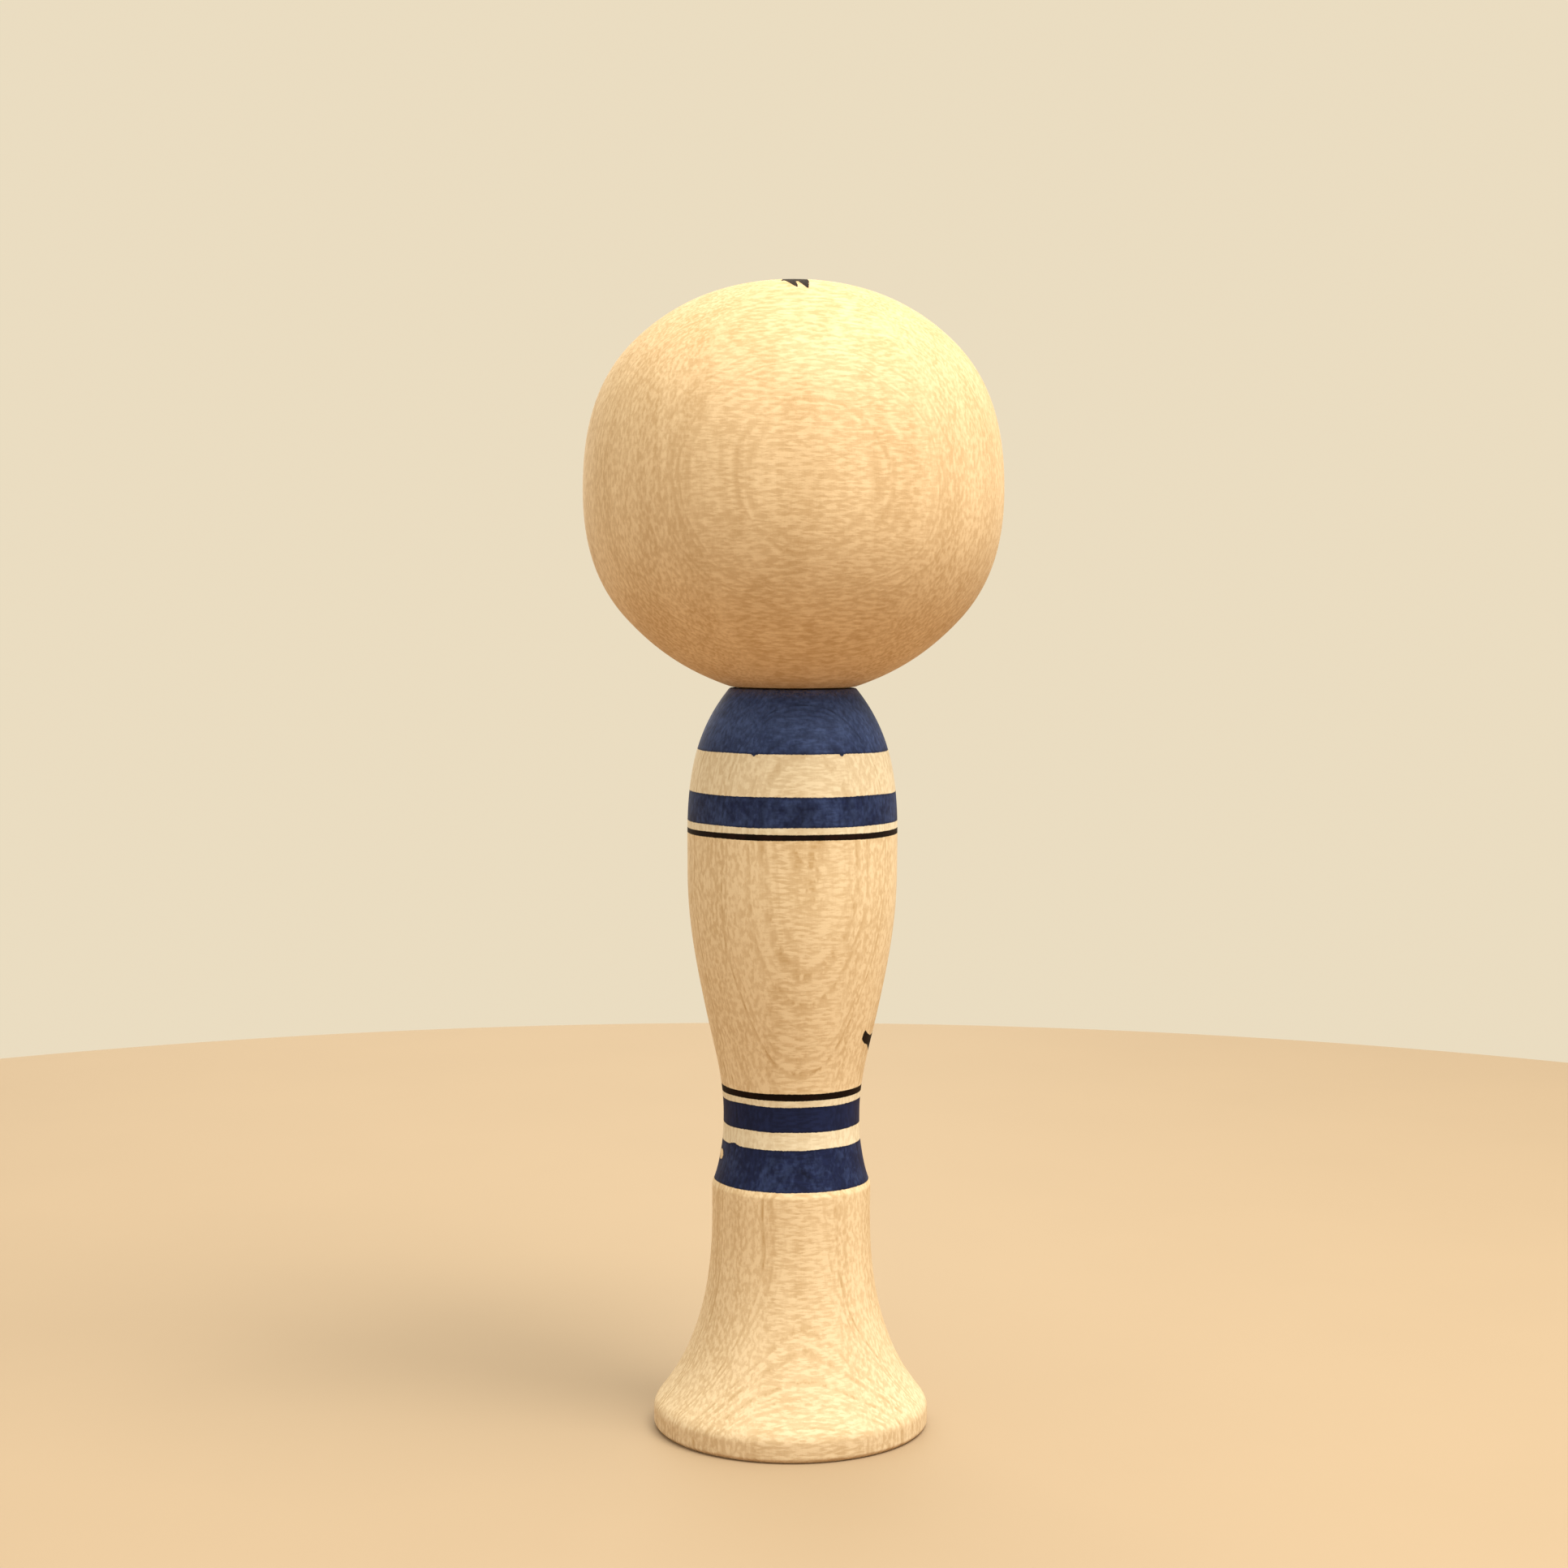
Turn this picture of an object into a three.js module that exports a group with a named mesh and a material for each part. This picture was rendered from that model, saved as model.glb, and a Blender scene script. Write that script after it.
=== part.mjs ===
// Kokeshi doll: a turned body with a flared foot, a large turned head, and the turned peg
// that joins them and lets the head turn on the neck.
//
// Millimetres, +Z up. The origin is the centre of the underside, and the face looks along -Y.
// Each piece is turned about the same upright axis, so each one is an outline of radius and
// height, which starts and ends on the axis and is spun round Z.

import * as THREE from 'three';

// ---- Driving dimensions ----------------------------------------------------------------

const TOTAL_HEIGHT = 121;       // a four-sun doll
const SEGMENTS = 48;            // flats round a turned surface
const PEG_SEGMENTS = 32;
const CURVE_STEPS = 5;          // straight steps in each curve of an outline
const GAP = 0.3;                // clearance between the solids that meet at the neck

// The foot: a flat disc with a softened upper corner and a small chamfer under it.
const FOOT_RADIUS = 14.6;
const FOOT_CHAMFER = 0.4;
const FOOT_RIM_HEIGHT = 1.9;
const FOOT_SHOULDER = { radius: 14.05, height: 3.2, lean: -38 };

// The skirt flares from a knee, where it stops dead under the waist, to the foot.
const SKIRT_LOWER = { radius: 10.65, height: 9, lean: -21.5 };
const SKIRT_UPPER = { radius: 8.65, height: 17.5, lean: -6 };
const KNEE = { radius: 8.42, height: 26, lean: 0 };
const KNEE_LEAN_ABOVE = -23;

// The trunk swells from the narrow waist to the belly and rounds over into the neck.
const WAIST_FOOT = { radius: 7.43, height: 29.9, lean: -9 };
const WAIST = { radius: 7.22, height: 33.4, lean: 0 };
const CHEST = { radius: 9.1, height: 44.6, lean: 12 };
const BELLY = { radius: 11.06, height: 59.6, lean: 0 };
const SHOULDER = { radius: 10.82, height: 68.3, lean: -6.8 };
const NECK = { radius: 6.65, height: 78.65, lean: -39 };

// The head sits on the neck with a flat seat, and is a little wider than it is tall.
const THROAT = { radius: 6.6, height: NECK.height + GAP, lean: 71 };
const JAW = { radius: 17.4, height: 85.8, lean: 43 };
const CHEEK = { radius: 22, height: 99.2, lean: 0 };
const TEMPLE = { radius: 16.6, height: 114.7, lean: -46 };
const CROWN = { radius: 0, height: TOTAL_HEIGHT, lean: -90 };

// The peg: a tenon glued into the head, a thinner shank through the socket's mouth,
// and a bead that snaps in under the mouth's lip, so the head turns but can't lift off.
const TENON_RADIUS = 2.5;
const TENON_LENGTH = 13;
const SHANK_RADIUS = 2.2;
const BEAD_RADIUS = 3.1;
const BEAD_HALF_HEIGHT = 1.9;
const BEAD_DROP = 6;            // from the neck's face down to the middle of the bead
const LIP_LENGTH = 3;           // depth of the socket's narrow mouth
const LIP_CHAMFER = 0.5;
const CHAMBER_DEPTH = 9;        // from the neck's face down to the socket's floor
const DRILL_POINT_DEPTH = 1;    // height of the cone that the drill leaves at a hole's end

// Lengths of a curve's two handles, as a share of the straight distance between its ends.
const HANDLE_SHARE = 0.36;

// ---- Outlines --------------------------------------------------------------------------

/** A plain corner of an outline. */
function corner(radius, height) {
  return new THREE.Vector2(radius, height);
}

/** The direction that an outline takes, from its lean off the vertical in degrees. */
function heading(lean) {
  const angle = THREE.MathUtils.degToRad(lean);
  return new THREE.Vector2(Math.sin(angle), Math.cos(angle));
}

/**
 * A smooth outline through the stations, in order, with one cubic curve between each two.
 * A station is a radius, a height, and the outline's lean there: positive where the outline
 * widens as it rises.
 */
function smoothOutline(stations) {
  const points = [corner(stations[0].radius, stations[0].height)];
  for (let i = 1; i < stations.length; i += 1) {
    const start = corner(stations[i - 1].radius, stations[i - 1].height);
    const end = corner(stations[i].radius, stations[i].height);
    const handle = HANDLE_SHARE * start.distanceTo(end);
    const curve = new THREE.CubicBezierCurve(
      start,
      start.clone().addScaledVector(heading(stations[i - 1].lean), handle),
      end.clone().addScaledVector(heading(stations[i].lean), -handle),
      end,
    );
    points.push(...curve.getPoints(CURVE_STEPS).slice(1));
  }
  return points;
}

/** The foot's outline, from the axis out to the softened corner above its rim. */
function footOutline() {
  const rounding = new THREE.QuadraticBezierCurve(
    corner(FOOT_RADIUS, FOOT_RIM_HEIGHT),
    corner(FOOT_RADIUS, (FOOT_RIM_HEIGHT + FOOT_SHOULDER.height) / 2),
    corner(FOOT_SHOULDER.radius, FOOT_SHOULDER.height),
  );
  return [
    corner(0, 0),
    corner(FOOT_RADIUS - FOOT_CHAMFER, 0),
    corner(FOOT_RADIUS, FOOT_CHAMFER),
    ...rounding.getPoints(CURVE_STEPS).slice(0, -1),
  ];
}

/** The socket's outline, from the edge of its mouth down to the point of its floor. */
function socketOutline() {
  const mouth = SHANK_RADIUS + GAP;
  const chamber = BEAD_RADIUS + GAP;
  const lipBottom = NECK.height - LIP_LENGTH;
  const floor = NECK.height - CHAMBER_DEPTH;
  return [
    corner(mouth + LIP_CHAMFER, NECK.height),
    corner(mouth, NECK.height - LIP_CHAMFER),
    corner(mouth, lipBottom),
    corner(chamber, lipBottom - (chamber - mouth)),
    corner(chamber, floor),
    corner(0, floor - DRILL_POINT_DEPTH),
  ];
}

function bodyOutline() {
  const skirt = smoothOutline([FOOT_SHOULDER, SKIRT_LOWER, SKIRT_UPPER, KNEE]);
  const aboveKnee = { ...KNEE, lean: KNEE_LEAN_ABOVE };
  const trunk = smoothOutline([aboveKnee, WAIST_FOOT, WAIST, CHEST, BELLY, SHOULDER, NECK]);
  return [...footOutline(), ...skirt, ...trunk.slice(1), ...socketOutline()];
}

function headOutline() {
  const boreRadius = TENON_RADIUS + GAP;
  const boreEnd = THROAT.height + TENON_LENGTH + GAP;
  return [
    corner(0, boreEnd + DRILL_POINT_DEPTH),
    corner(boreRadius, boreEnd),
    corner(boreRadius, THROAT.height),
    ...smoothOutline([THROAT, JAW, CHEEK, TEMPLE, CROWN]),
  ];
}

/** The peg's outline: the bead is half an ellipse, cut where it meets the shank. */
function pegOutline() {
  const beadMiddle = NECK.height - BEAD_DROP;
  const shankAngle = Math.asin(SHANK_RADIUS / BEAD_RADIUS);
  const beadSweep = Math.PI - shankAngle;
  const beadSteps = 2 * CURVE_STEPS;
  const bead = [];
  for (let i = 0; i <= beadSteps; i += 1) {
    const angle = (beadSweep * i) / beadSteps;
    const radius = BEAD_RADIUS * Math.sin(angle);
    bead.push(corner(radius, beadMiddle - BEAD_HALF_HEIGHT * Math.cos(angle)));
  }
  const tenonTop = THROAT.height + TENON_LENGTH;
  const taper = TENON_RADIUS - SHANK_RADIUS;
  return [
    ...bead,
    corner(SHANK_RADIUS, THROAT.height),
    corner(TENON_RADIUS, THROAT.height + taper),
    corner(TENON_RADIUS, tenonTop - taper),
    corner(SHANK_RADIUS, tenonTop),
    corner(0, tenonTop),
  ];
}

// ---- Solids ----------------------------------------------------------------------------

/** Spins an outline round Z and names the piece. */
function turned(name, outline, segments, look) {
  const geometry = new THREE.LatheGeometry(outline, segments);
  geometry.rotateX(Math.PI / 2);
  const material = new THREE.MeshStandardMaterial({ metalness: 0, ...look });
  const mesh = new THREE.Mesh(geometry, material);
  mesh.name = name;
  return mesh;
}

const doll = new THREE.Group();
doll.add(turned('body', bodyOutline(), SEGMENTS, { color: 0xe8d2a4, roughness: 0.55 }));
doll.add(turned('neck_peg', pegOutline(), PEG_SEGMENTS, { color: 0xcfa873, roughness: 0.7 }));
doll.add(turned('head', headOutline(), SEGMENTS, { color: 0xf0dbae, roughness: 0.5 }));

export default doll;
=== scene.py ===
"""A kokeshi doll: a turned body with painted bands, a large turned head, and the peg between them.

Every piece is turned about the same upright axis, so each one is an outline of radius and
height spun round Z. Outlines, charts and strokes are in millimetres, and meshes are in metres.
The painted face looks along -Y and the plain back along +Y. A vertex's azimuth is 0 at the
front and grows towards +X.
"""

import logging
import math
from dataclasses import dataclass
from enum import Enum
from typing import Sequence

import bpy
import numpy as np
from mathutils import Matrix, Vector


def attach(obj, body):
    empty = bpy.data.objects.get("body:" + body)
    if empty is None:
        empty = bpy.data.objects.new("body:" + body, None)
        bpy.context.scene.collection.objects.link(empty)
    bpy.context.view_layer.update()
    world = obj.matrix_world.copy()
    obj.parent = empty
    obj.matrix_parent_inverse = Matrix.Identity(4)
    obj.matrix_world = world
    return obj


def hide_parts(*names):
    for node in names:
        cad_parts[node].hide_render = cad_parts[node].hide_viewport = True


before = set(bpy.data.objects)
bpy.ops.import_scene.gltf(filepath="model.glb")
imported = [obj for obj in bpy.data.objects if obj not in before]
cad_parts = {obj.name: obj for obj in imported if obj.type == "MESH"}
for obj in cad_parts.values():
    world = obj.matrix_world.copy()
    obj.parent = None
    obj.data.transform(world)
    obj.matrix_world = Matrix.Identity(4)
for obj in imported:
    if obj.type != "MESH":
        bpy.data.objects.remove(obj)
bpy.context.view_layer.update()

LOG = logging.getLogger("kokeshi")
MM = 0.001
HANDLE_SHARE = 0.36     # a curve's handles, as a share of the distance between its ends
OUT_OF_REACH = -1.0     # the depth, in mm, given to a vertex that no stroke comes near

PER_METRE = (1000.0, 1000.0, 1000.0)    # millimetres, along each axis

Colour = tuple[float, float, float]
Socket = bpy.types.NodeSocket
Value = float | Sequence[float] | Socket


# ---- Outlines ----


@dataclass(frozen=True)
class Station:
    """A point that a turned outline passes through, and the way it leans there.

    Attributes:
        radius: Distance from the axis in mm.
        height: Height above the underside in mm.
        lean: Degrees off the vertical, positive where the outline widens as it rises.
        step: Distance between points on the curve that ends here, in mm.
    """

    radius: float
    height: float
    lean: float = 0.0
    step: float = 0.3

    @property
    def point(self) -> np.ndarray:
        """The station as (radius, height)."""
        return np.array([self.radius, self.height])

    @property
    def heading(self) -> np.ndarray:
        """The unit direction that the outline takes here."""
        angle = math.radians(self.lean)
        return np.array([math.sin(angle), math.cos(angle)])


def straight(start: Sequence[float], end: Sequence[float], spacing: float) -> np.ndarray:
    """Points along a straight stretch, both ends included, at most the spacing apart in mm.

    Args:
        start: First (radius, height) in mm.
        end: Last (radius, height) in mm.
        spacing: Largest distance between points in mm.

    Returns:
        (radius, height) rows.
    """
    start, end = np.asarray(start, float), np.asarray(end, float)
    count = max(1, math.ceil(np.hypot(*(end - start)) / spacing))
    share = np.linspace(0.0, 1.0, count + 1)[:, None]
    return start + share * (end - start)


def through(corners: Sequence[Sequence[float]], spacings: Sequence[float]) -> list[np.ndarray]:
    """Straight stretches from corner to corner, each with its own spacing in mm."""
    return [straight(*leg) for leg in zip(corners, corners[1:], spacings)]


def smooth_outline(stations: Sequence[Station]) -> np.ndarray:
    """A smooth outline through stations, one cubic Bezier curve between each two.

    A curve's handles lie along the two headings, HANDLE_SHARE of the chord long. At share t
    its point is (1-t)^3 A + 3(1-t)^2 t B + 3(1-t) t^2 C + t^3 D.

    Args:
        stations: The stations in order.

    Returns:
        (radius, height) rows.
    """
    pieces = [stations[0].point[None]]
    for low, high in zip(stations, stations[1:]):
        chord = float(np.hypot(*(high.point - low.point)))
        reach = HANDLE_SHARE * chord
        b, c = low.point + reach * low.heading, high.point - reach * high.heading
        t = np.linspace(0.0, 1.0, max(2, math.ceil(chord / high.step)) + 1)[1:, None]
        curve = ((1 - t) ** 3 * low.point + 3 * (1 - t) ** 2 * t * b
                 + 3 * (1 - t) * t ** 2 * c + t ** 3 * high.point)
        pieces.append(curve)
    return np.concatenate(pieces)


def join_softly(stretches: Sequence[np.ndarray], radius: float, steps: int = 5) -> np.ndarray:
    """Joins stretches end to end and takes the sharpness off the corner between each two.

    Each corner becomes a quadratic curve that starts and ends radius away from it, which is
    what fine abrasive leaves on a turned edge.

    Args:
        stretches: Outline pieces, each starting where the last one ends.
        radius: How far from the corner the softening starts, in mm.
        steps: Straight steps in each softened corner.

    Returns:
        The whole outline as (radius, height) rows.
    """
    whole = stretches[0]
    t = np.linspace(0.0, 1.0, steps + 1)[:, None]
    for following in stretches[1:]:
        corner = whole[-1]
        before = whole[np.hypot(*(whole - corner).T) > radius]
        after = following[np.hypot(*(following - corner).T) > radius]
        start = corner + radius * unit(before[-1] - corner)
        end = corner + radius * unit(after[0] - corner)
        curve = (1 - t) ** 2 * start + 2 * (1 - t) * t * corner + t ** 2 * end
        whole = np.concatenate([before, curve, after])
    return whole


def unit(direction: np.ndarray) -> np.ndarray:
    """The direction with a length of 1."""
    return direction / np.hypot(*direction)


def ripple(angle: np.ndarray, seed: int, amplitude: float, waves: int = 9) -> np.ndarray:
    """A gentle unevenness that closes on itself round the doll.

    It is a sum of whole-numbered waves of the angle, each weaker than the last, with phases
    drawn from the seed.

    Args:
        angle: Azimuths in radians.
        seed: Picks the phases.
        amplitude: Rough height of the unevenness, in the caller's unit.
        waves: Number of waves.

    Returns:
        The unevenness at each angle.
    """
    phases = np.random.default_rng(seed).uniform(0.0, 2 * math.pi, waves)
    numbers = np.arange(1, waves + 1)
    terms = np.sin(np.multiply.outer(angle, numbers) + phases) / np.sqrt(numbers)
    return amplitude * terms.sum(-1) / 2.0


def bump(x: np.ndarray, middle: float, reach: float) -> np.ndarray:
    """A smooth hump of height 1 at the middle that fades to 0 at the reach, both ways."""
    near = np.clip(1.0 - np.abs(x - middle) / reach, 0.0, 1.0)
    return near * near * (3.0 - 2.0 * near)


# ---- Turned surfaces ----


class TurnedSurface:
    """A closed surface of revolution, as a grid of outline points by azimuths.

    A vertex is (r sin a, -r cos a, z) for an outline point (r, z) and an azimuth a. The
    outline starts and ends on the axis, where the surface closes in one vertex.

    Attributes:
        azimuth: Azimuth of each vertex in radians.
        travel: Distance along the outline to each vertex in mm.
        radius: Distance of each vertex from the axis in mm.
        height: Height of each vertex in mm.
        end_grain: How squarely the surface cuts the upright fibres, 0 to 1, at each vertex.
        lift: How far each vertex is raised above the turned shape, in mm along Z.
    """

    def __init__(self, outline: np.ndarray, azimuths: np.ndarray) -> None:
        """Lays out the grid.

        Args:
            outline: (radius, height) rows in mm, first and last on the axis.
            azimuths: Increasing azimuths in radians, less than a turn in all.
        """
        self.columns = len(azimuths)
        steps = np.hypot(*np.diff(outline, axis=0).T)
        travel = np.concatenate([[0.0], np.cumsum(steps)])
        slope = np.abs(np.gradient(outline[:, 0], travel))
        self.azimuth = np.concatenate([[0.0], np.tile(azimuths, len(outline) - 2), [0.0]])
        self.travel = self._round(travel)
        self.radius = self._round(outline[:, 0])
        self.height = self._round(outline[:, 1])
        self.end_grain = self._round(np.clip(slope, 0.0, 1.0))
        self.lift = np.zeros_like(self.radius)

    def _round(self, per_row: np.ndarray) -> np.ndarray:
        """Spreads a value per outline point to a value per vertex."""
        inner = np.repeat(per_row[1:-1], self.columns)
        return np.concatenate([per_row[:1], inner, per_row[-1:]])

    def _faces(self) -> tuple[np.ndarray, np.ndarray]:
        """The triangles at the two ends and the quads between them, facing outwards.

        Returns:
            Vertex numbers of the triangles, and of the quads.
        """
        count = len(self.azimuth)
        rows = np.arange(1, count - 1).reshape(-1, self.columns)
        beside = np.roll(rows, -1, axis=1)
        start = np.stack([np.zeros_like(rows[0]), beside[0], rows[0]], -1)
        end = np.stack([rows[-1], beside[-1], np.full_like(rows[-1], count - 1)], -1)
        quads = np.stack([rows[:-1], beside[:-1], beside[1:], rows[1:]], -1)
        return np.concatenate([start, end]), quads.reshape(-1, 4)

    def build(self, name: str, layers: dict[str, np.ndarray]) -> bpy.types.Object:
        """Makes the mesh object.

        Args:
            name: Name of the piece.
            layers: Extra values per vertex, which the materials read as attributes.

        Returns:
            The object, at the origin, with its place in its mesh.
        """
        radius, azimuth = self.radius, self.azimuth
        points = np.stack([radius * np.sin(azimuth), -radius * np.cos(azimuth),
                           self.height + self.lift], -1) * MM
        triangles, quads = self._faces()
        corners = np.concatenate([triangles.ravel(), quads.ravel()])
        starts = np.concatenate([np.arange(len(triangles)) * 3,
                                 triangles.size + np.arange(len(quads)) * 4])
        mesh = bpy.data.meshes.new(name)
        for parts, key, values in ((mesh.vertices, "co", points.astype(np.float32)),
                                   (mesh.loops, "vertex_index", corners.astype(np.int32)),
                                   (mesh.polygons, "loop_start", starts.astype(np.int32))):
            parts.add(len(values))
            parts.foreach_set(key, values.ravel())
        mesh.update(calc_edges=True)
        mesh.shade_smooth()
        for layer, values in {"travel": self.travel, "end_grain": self.end_grain, **layers}.items():
            attribute = mesh.attributes.new(layer, "FLOAT", "POINT")
            attribute.data.foreach_set("value", values.astype(np.float32))
        return add_object(name, mesh)


def add_object(name: str, data: bpy.types.ID) -> bpy.types.Object:
    """Puts a new object with this data into the scene.

    Args:
        name: Name of the object.
        data: Its mesh, light or camera.

    Returns:
        The object.
    """
    made = bpy.data.objects.new(name, data)
    bpy.context.scene.collection.objects.link(made)
    return made


def even_azimuths(count: int) -> np.ndarray:
    """Azimuths evenly round a turn, from the back through the front."""
    return np.linspace(-math.pi, math.pi, count, endpoint=False)


def front_loaded_azimuths(count: int, crowding: float) -> np.ndarray:
    """Azimuths round a turn that lie closer together at the front: a = u - crowding sin u."""
    even = even_azimuths(count)
    return even - crowding * np.sin(even)


# ---- Brush strokes ----


class Press(Enum):
    """How hard the brush is pressed along a stroke, which sets its width."""

    LINE = "even"
    LEAF = "swelling in the middle"
    TAIL = "full at the start, thin at the end"
    TEAR = "thin at the start, full at the end"

    def width(self, share: np.ndarray) -> np.ndarray:
        """Width as a share of the fullest, at each share of the way along.

        Args:
            share: Shares of the way along the stroke.

        Returns:
            One width per share.
        """
        if self is Press.LINE:
            return 0.85 + 0.15 * np.sin(math.pi * share)
        if self is Press.LEAF:
            return 0.24 + 0.76 * np.sin(math.pi * share) ** 0.8
        if self is Press.TAIL:
            return 0.1 + 0.9 * np.cos(0.5 * math.pi * share) ** 0.7
        return 0.2 + 0.8 * np.sin(0.5 * math.pi * share) ** 0.9


@dataclass(frozen=True)
class Stroke:
    """One pass of a brush: a bent line whose width swells and tapers.

    Attributes:
        start: Where the brush touches down, on the chart, in mm.
        bend: The point that the line is pulled towards.
        end: Where the brush lifts off.
        width: Fullest width in mm.
        press: How the width runs along the stroke.
    """

    start: tuple[float, float]
    bend: tuple[float, float]
    end: tuple[float, float]
    width: float
    press: Press = Press.LEAF

    STEPS = 14

    def mirrored(self) -> "Stroke":
        """The same stroke on the doll's other side."""
        flipped = [(-x, y) for x, y in (self.start, self.bend, self.end)]
        return Stroke(*flipped, self.width, self.press)

    def depth(self, chart: np.ndarray) -> np.ndarray:
        """How deep each chart point lies inside the stroke, in mm; negative outside.

        The line is the quadratic curve (1-t)^2 A + 2(1-t) t B + t^2 C, cut into straight
        steps. The depth is the largest, over the steps, of half the width there less the
        distance to the step.

        Args:
            chart: (x, y) rows in mm.

        Returns:
            One depth per row, OUT_OF_REACH where the stroke is far away.
        """
        a, b, c = (np.array(p, float) for p in (self.start, self.bend, self.end))
        t = np.linspace(0.0, 1.0, self.STEPS + 1)[:, None]
        line = (1 - t) ** 2 * a + 2 * (1 - t) * t * b + t ** 2 * c
        margin = self.width / 2 - OUT_OF_REACH
        near = np.all((chart > line.min(0) - margin) & (chart < line.max(0) + margin), axis=1)
        points = chart[near][:, None, :]
        along = line[1:] - line[:-1]
        length = np.maximum((along ** 2).sum(-1), 1e-12)
        share = np.clip(((points - line[:-1]) * along).sum(-1) / length, 0.0, 1.0)
        away = np.hypot(*np.moveaxis(points - line[:-1] - share[..., None] * along, -1, 0))
        whole = (np.arange(self.STEPS) + share) / self.STEPS
        result = np.full(len(chart), OUT_OF_REACH)
        result[near] = (self.width / 2 * self.press.width(whole) - away).max(-1)
        return np.maximum(result, OUT_OF_REACH)


def dot(x: float, y: float, width: float) -> Stroke:
    """A round touch of the brush's tip, as a very short stroke."""
    return Stroke((x - 0.02, y), (x, y), (x + 0.02, y), width, Press.LINE)


def painted(strokes: Sequence[Stroke], chart: np.ndarray) -> np.ndarray:
    """How deep each chart point lies inside any of the strokes, in mm."""
    return np.max([stroke.depth(chart) for stroke in strokes], axis=0)


# ---- Node work ----


class Bench:
    """Makes and links the nodes of one tree."""

    def __init__(self, tree: bpy.types.NodeTree) -> None:
        """Starts on an empty tree."""
        self.tree = tree
        tree.nodes.clear()

    def node(self, kind: str, inputs: dict[str | int, Value] | None = None,
             **settings: object) -> bpy.types.Node:
        """Adds a node.

        Args:
            kind: Blender's name for the node type.
            inputs: Values or sockets to put into it, by input name or number.
            **settings: Properties of the node.

        Returns:
            The node.
        """
        made = self.tree.nodes.new(kind)
        for key, value in settings.items():
            setattr(made, key, value)
        for key, value in (inputs or {}).items():
            self.put(made.inputs[key], value)
        return made

    def put(self, socket: Socket, value: Value) -> None:
        """Links a socket into an input, or sets the input's own value.

        Args:
            socket: The input.
            value: A socket or a plain value.
        """
        if isinstance(value, bpy.types.NodeSocket):
            self.tree.links.new(value, socket)
        else:
            socket.default_value = value

    def math(self, operation: str, *values: Value) -> Socket:
        """One step of arithmetic."""
        made = self.node("ShaderNodeMath", dict(enumerate(values)), operation=operation)
        return made.outputs[0]

    def vector(self, operation: str, *values: Value) -> Socket:
        """One step of vector arithmetic that gives a vector."""
        made = self.node("ShaderNodeVectorMath", dict(enumerate(values)), operation=operation)
        return made.outputs["Vector"]

    def step(self, value: Value, low: Value, high: Value) -> Socket:
        """0 below low, 1 above high, and a smooth rise between.

        Args:
            value: What is compared.
            low: Where the rise starts.
            high: Where it ends.

        Returns:
            The step's socket.
        """
        inputs = {"Value": value, "From Min": low, "From Max": high}
        made = self.node("ShaderNodeMapRange", inputs, interpolation_type="SMOOTHSTEP")
        return made.outputs["Result"]

    def noise(self, place: Value, scale: float, detail: float = 2.0, flat: bool = False) -> Socket:
        """Smooth noise from 0 to 1.

        Args:
            place: A vector, or a single value where flat is true.
            scale: Waves per unit of place.
            detail: Number of finer octaves.
            flat: Whether the noise runs along one number only.

        Returns:
            The noise's socket.
        """
        inputs = {("W" if flat else "Vector"): place, "Scale": scale, "Detail": detail}
        made = self.node("ShaderNodeTexNoise", inputs, noise_dimensions="1D" if flat else "3D")
        return made.outputs["Fac"]

    def grain(self, place: Value, waves: tuple[float, float, float], detail: float) -> Socket:
        """Smooth noise from 0 to 1, with its own number of waves per unit along each axis."""
        return self.noise(self.vector("MULTIPLY", place, waves), 1.0, detail)

    def mix(self, share: Value, first: Value, second: Value, how: str = "MIX") -> Socket:
        """Mixes two colours.

        Args:
            share: Share of the second colour.
            first: The first colour.
            second: The second colour.
            how: The way of mixing.

        Returns:
            The mixed colour's socket.
        """
        made = self.node("ShaderNodeMix", {0: share, 6: first, 7: second},
                         data_type="RGBA", blend_type=how)
        return made.outputs[2]

    def group(self, tree: bpy.types.NodeTree, inputs: dict[str, Value]) -> bpy.types.Node:
        """Places a node group."""
        return self.node("ShaderNodeGroup", inputs, node_tree=tree)

    def attribute(self, name: str) -> Socket:
        """Reads a value that the mesh carries at its vertices."""
        return self.node("ShaderNodeAttribute", attribute_name=name).outputs["Fac"]

    def close_group(self, results: dict[str, Socket]) -> bpy.types.NodeTree:
        """Leads the results out of a node group, and gives back the group."""
        self.node("NodeGroupOutput", results)
        return self.tree


def start_group(name: str, inputs: dict[str, str], outputs: Sequence[str]
                ) -> tuple[Bench, dict[str, Socket]]:
    """Starts a shader node group.

    Args:
        name: The group's name.
        inputs: Kind of each input, by name: Float or Vector.
        outputs: Names of the outputs, each a single value.

    Returns:
        The bench to build on, and the input sockets by name.
    """
    tree = bpy.data.node_groups.new(name, "ShaderNodeTree")
    for key, kind in inputs.items():
        tree.interface.new_socket(name=key, in_out="INPUT", socket_type=f"NodeSocket{kind}")
    for key in outputs:
        tree.interface.new_socket(name=key, in_out="OUTPUT", socket_type="NodeSocketFloat")
    bench = Bench(tree)
    source = bench.node("NodeGroupInput")
    return bench, {key: source.outputs[key] for key in inputs}


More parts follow.
